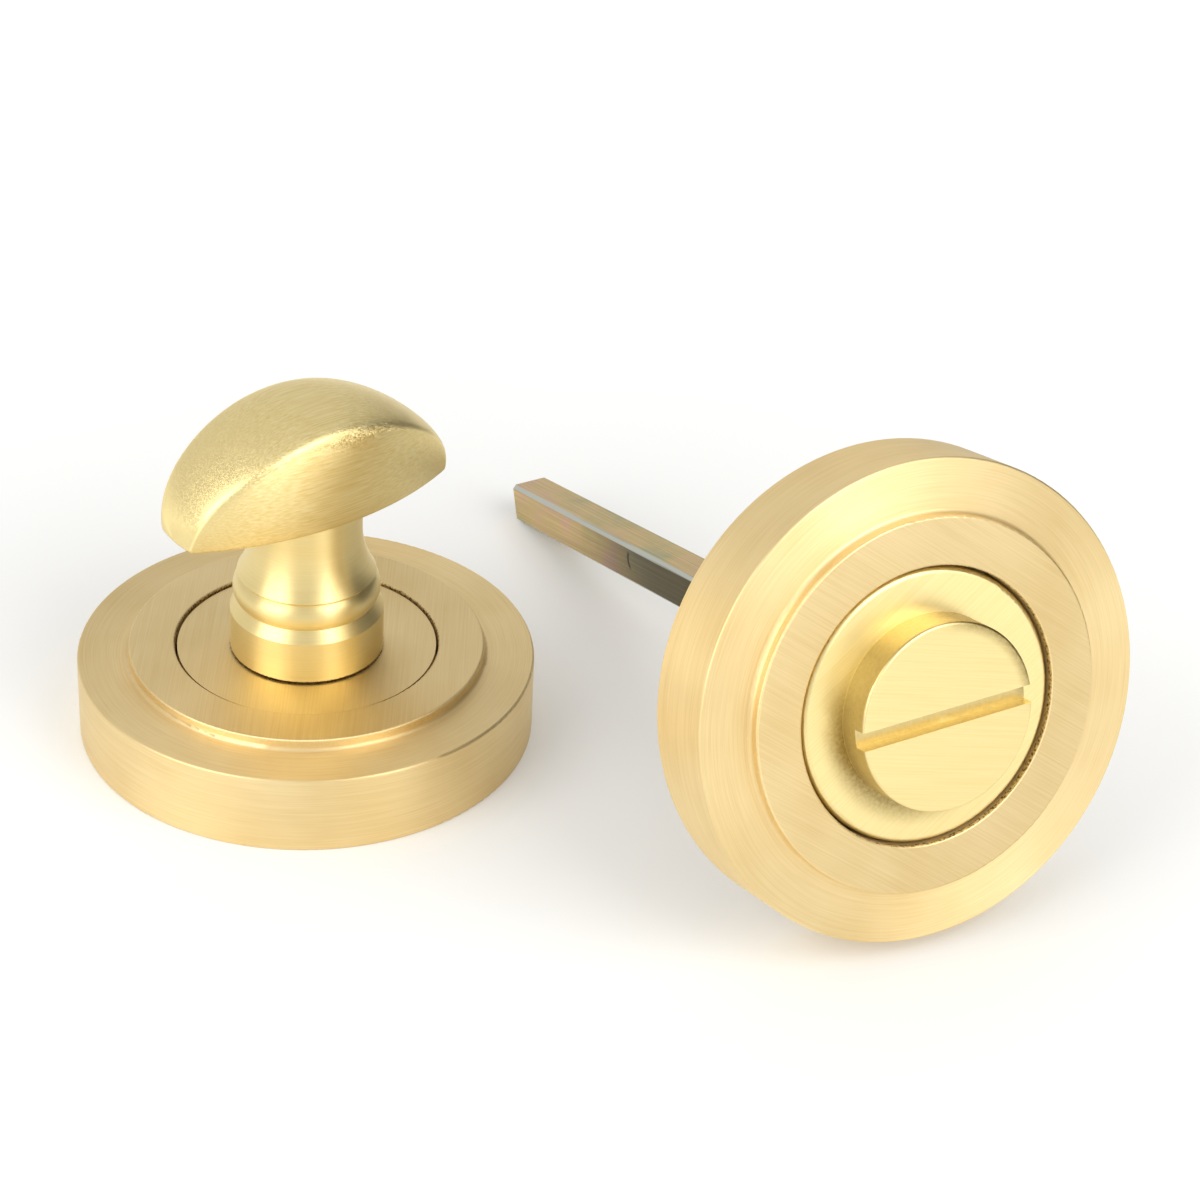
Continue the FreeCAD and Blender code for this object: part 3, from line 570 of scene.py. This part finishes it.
# One flat turns a darker olive towards the rose: painted shade
shaded_side = add(tree, "ShaderNodeMath", {0: across, 1: -SPINDLE_FLAT}, operation="LESS_THAN").outputs[0]
to_rose = add(tree, "ShaderNodeMapRange", {"Value": height, "From Min": SHADE_FROM, "From Max": SHADE_FULL},
              interpolation_type="SMOOTHSTEP").outputs["Result"]
darkening = add(tree, "ShaderNodeMath", {0: shaded_side, 1: to_rose}, operation="MULTIPLY").outputs[0]
film_and_shade = add(tree, "ShaderNodeMix", {"Factor": darkening, "A": film.outputs["Color"], "B": linear(SHADE_ON_FILM)},
             data_type="RGBA").outputs["Result"]
tinted = add(tree, "ShaderNodeVectorMath", {0: film_and_shade, "Scale": streak}, operation="SCALE")
sides = add(tree, "ShaderNodeVectorMath", {0: own}, operation="ABSOLUTE").outputs["Vector"]
side = add(tree, "ShaderNodeSeparateXYZ", {"Vector": sides}).outputs
lesser = add(tree, "ShaderNodeMath", {0: side["X"], 1: side["Y"]}, operation="MINIMUM").outputs[0]
ragged = add(tree, "ShaderNodeMath", {0: lines, 1: RUB_RAGGED, 2: lesser},
             operation="MULTIPLY_ADD").outputs[0]
rubbed = add(tree, "ShaderNodeMapRange", {"Value": ragged, "From Min": SPINDLE_FLAT + RUB_FROM,
                                          "From Max": SPINDLE_FLAT + RUB_FULL}).outputs["Result"]
bare = add(tree, "ShaderNodeMix", {"Factor": rubbed, "A": tinted.outputs["Vector"], "B": linear(ZINC)},
           data_type="RGBA").outputs["Result"]
# A short curved score on one flat: part of a ring about a point beside it
aside = add(tree, "ShaderNodeVectorMath", {0: own, 1: SCORE_CENTRE}, operation="DISTANCE").outputs["Value"]
off = add(tree, "ShaderNodeMath", {0: aside, 1: SCORE_ROUND}, operation="SUBTRACT").outputs[0]
apart = add(tree, "ShaderNodeMath", {0: off}, operation="ABSOLUTE").outputs[0]
thin = add(tree, "ShaderNodeMapRange", {"Value": apart, "From Min": SCORE_DARK, "From Max": SCORE_FADED,
                                        "To Min": 1.0, "To Max": 0.0}).outputs["Result"]
reach = add(tree, "ShaderNodeVectorMath", {0: own, 1: SCORE_AT}, operation="DISTANCE").outputs["Value"]
short = add(tree, "ShaderNodeMapRange", {"Value": reach, "From Min": SCORE_REACH, "From Max": SCORE_END,
                                         "To Min": 1.0, "To Max": 0.0}).outputs["Result"]
score = add(tree, "ShaderNodeMath", {0: thin, 1: short}, operation="MULTIPLY").outputs[0]
colour = add(tree, "ShaderNodeMix", {"Factor": score, "A": bare, "B": linear(SCORE)},
             data_type="RGBA").outputs["Result"]
rough = add(tree, "ShaderNodeMapRange", {"Value": lines, "To Min": 0.34, "To Max": 0.5}).outputs["Result"]
bump = add(tree, "ShaderNodeBump", {"Height": lines, "Strength": 0.15,
                                    "Distance": DRAWN_DEPTH}).outputs["Normal"]
shader = add(tree, "ShaderNodeBsdfPrincipled", {"Base Color": colour, "Metallic": 1.0, "Roughness": rough,
                                                "Normal": bump})
add(tree, "ShaderNodeOutputMaterial", {"Surface": shader.outputs[0]})
finish_with(material, "spindle")

# Floor: a sheet of white paper under both halves, which is lifted to white for the eye and in the brass,
# and keeps their shadows.
FLOOR_REACH = 3.0
FLOOR_MIDDLE = (0.015, -0.025, 0)
FLOOR_GAP = 0.00001
PAPER = "E2E2E0"
LIFT = 0.14
FAR_LIFT = 0.45
LIFT_FROM = 0.06
LIFT_FULL = 0.22
material, tree = new_material("white_paper_sweep")
path = add(tree, "ShaderNodeLightPath").outputs
direct = add(tree, "ShaderNodeMath", {0: path["Is Camera Ray"], 1: path["Is Glossy Ray"]},
             operation="MAXIMUM")
seen = add(tree, "ShaderNodeMath", {0: direct.outputs[0], 1: path["Is Transmission Ray"]},
           operation="MAXIMUM").outputs[0]
where = add(tree, "ShaderNodeTexCoord").outputs["Object"]
away = add(tree, "ShaderNodeVectorMath", {0: where, 1: FLOOR_MIDDLE}, operation="DISTANCE").outputs["Value"]
spread = add(tree, "ShaderNodeMapRange", {"Value": away, "From Min": LIFT_FROM, "From Max": LIFT_FULL,
                                          "To Min": LIFT, "To Max": FAR_LIFT}).outputs["Result"]
lift = add(tree, "ShaderNodeMath", {0: seen, 1: spread}, operation="MULTIPLY").outputs[0]
paper = add(tree, "ShaderNodeBsdfDiffuse", {"Color": linear(PAPER)})
glow = add(tree, "ShaderNodeEmission", {"Color": linear("FFFFFF"), "Strength": lift})
both = add(tree, "ShaderNodeAddShader", {0: paper.outputs[0], 1: glow.outputs[0]})
add(tree, "ShaderNodeOutputMaterial", {"Surface": both.outputs[0]})
shape = bmesh.new()
bmesh.ops.create_grid(shape, x_segments=1, y_segments=1, size=FLOOR_REACH)
bmesh.ops.translate(shape, verts=shape.verts, vec=(0, 0, -FLOOR_GAP))
mesh = bpy.data.meshes.new("floor")
shape.to_mesh(mesh)
shape.free()
mesh.materials.append(material)
floor = bpy.data.objects.new("floor", mesh)
scene.collection.objects.link(floor)

# Camera: a long lens about 0.35 m away, which looks down on the front of the thumb half and has the coin
# release on the right.
CAMERA_AT = Vector((-0.167183, -0.25967, 0.212148))
CAMERA_RIGHT = Vector((0.79358, -0.60674, 0.04573))
CAMERA_UP = Vector((0.29387, 0.448013, 0.84435))
LENS = 94.65
SENSOR = 36.0
NEAREST = 0.01
camera_data = bpy.data.cameras.new("camera")
camera_data.lens = LENS
camera_data.sensor_width = SENSOR
camera_data.clip_start = NEAREST
camera = bpy.data.objects.new("camera", camera_data)
scene.collection.objects.link(camera)
back = CAMERA_RIGHT.cross(CAMERA_UP).normalized()
camera_turned = Matrix((CAMERA_RIGHT, CAMERA_UP, back)).transposed()
camera.matrix_world = Matrix.Translation(CAMERA_AT) @ camera_turned.to_4x4()
scene.camera = camera

# Light: two soft boxes, one on either side of the camera, in a pale room. The room is darker on the right,
# so that the brass has a shaded side.
MIDDLE = Vector((0.015, -0.025, 0.02))
DIM_BEHIND = -0.27
DIM_FROM = 0.27
DIM_FULL = 0.8
ROOM = 0.76
ROOM_DIM = 0.04
BOX_DISTANCE = 0.7
camera_bearing = math.atan2(CAMERA_AT.y - MIDDLE.y, CAMERA_AT.x - MIDDLE.x)


def soft_box(name, bearing, height, size, brightness):
    """A lamp that faces the object and looks as bright as given, where 1 is white. bearing is in degrees
    from the camera to the right of the picture, and height in degrees above the floor."""
    lamp = bpy.data.lights.new(name, "AREA")
    lamp.shape = "RECTANGLE"
    lamp.size, lamp.size_y = size
    lamp.energy = brightness * math.pi * size[0] * size[1]
    angle = camera_bearing + math.radians(bearing)
    rise = math.radians(height)
    away = Vector((math.cos(angle) * math.cos(rise), math.sin(angle) * math.cos(rise), math.sin(rise)))
    holder = bpy.data.objects.new(name, lamp)
    holder.location = MIDDLE + away * BOX_DISTANCE
    holder.rotation_euler = away.to_track_quat("Z", "Y").to_euler()
    holder.visible_camera = False
    scene.collection.objects.link(holder)


soft_box("left_box", -50, 30, (0.5, 0.6), 2.6)
soft_box("right_box", 52, 36, (0.48, 0.62), 3.1)

world = bpy.data.worlds.new("studio")
scene.world = world
world.use_nodes = True
tree = world.node_tree
tree.nodes.clear()
direction = add(tree, "ShaderNodeTexCoord").outputs["Generated"]
dim_side = (CAMERA_RIGHT + back * DIM_BEHIND).normalized()
to_dim = add(tree, "ShaderNodeVectorMath", {0: direction, 1: dim_side},
             operation="DOT_PRODUCT").outputs["Value"]
fall = add(tree, "ShaderNodeMapRange", {"Value": to_dim, "From Min": DIM_FROM, "From Max": DIM_FULL,
                                        "To Min": ROOM, "To Max": ROOM_DIM},
           interpolation_type="SMOOTHSTEP").outputs["Result"]
room = add(tree, "ShaderNodeBackground", {"Color": linear("FFFFFF"), "Strength": fall})
add(tree, "ShaderNodeOutputWorld", {"Surface": room.outputs[0]})
scene.view_settings.view_transform = "Standard"
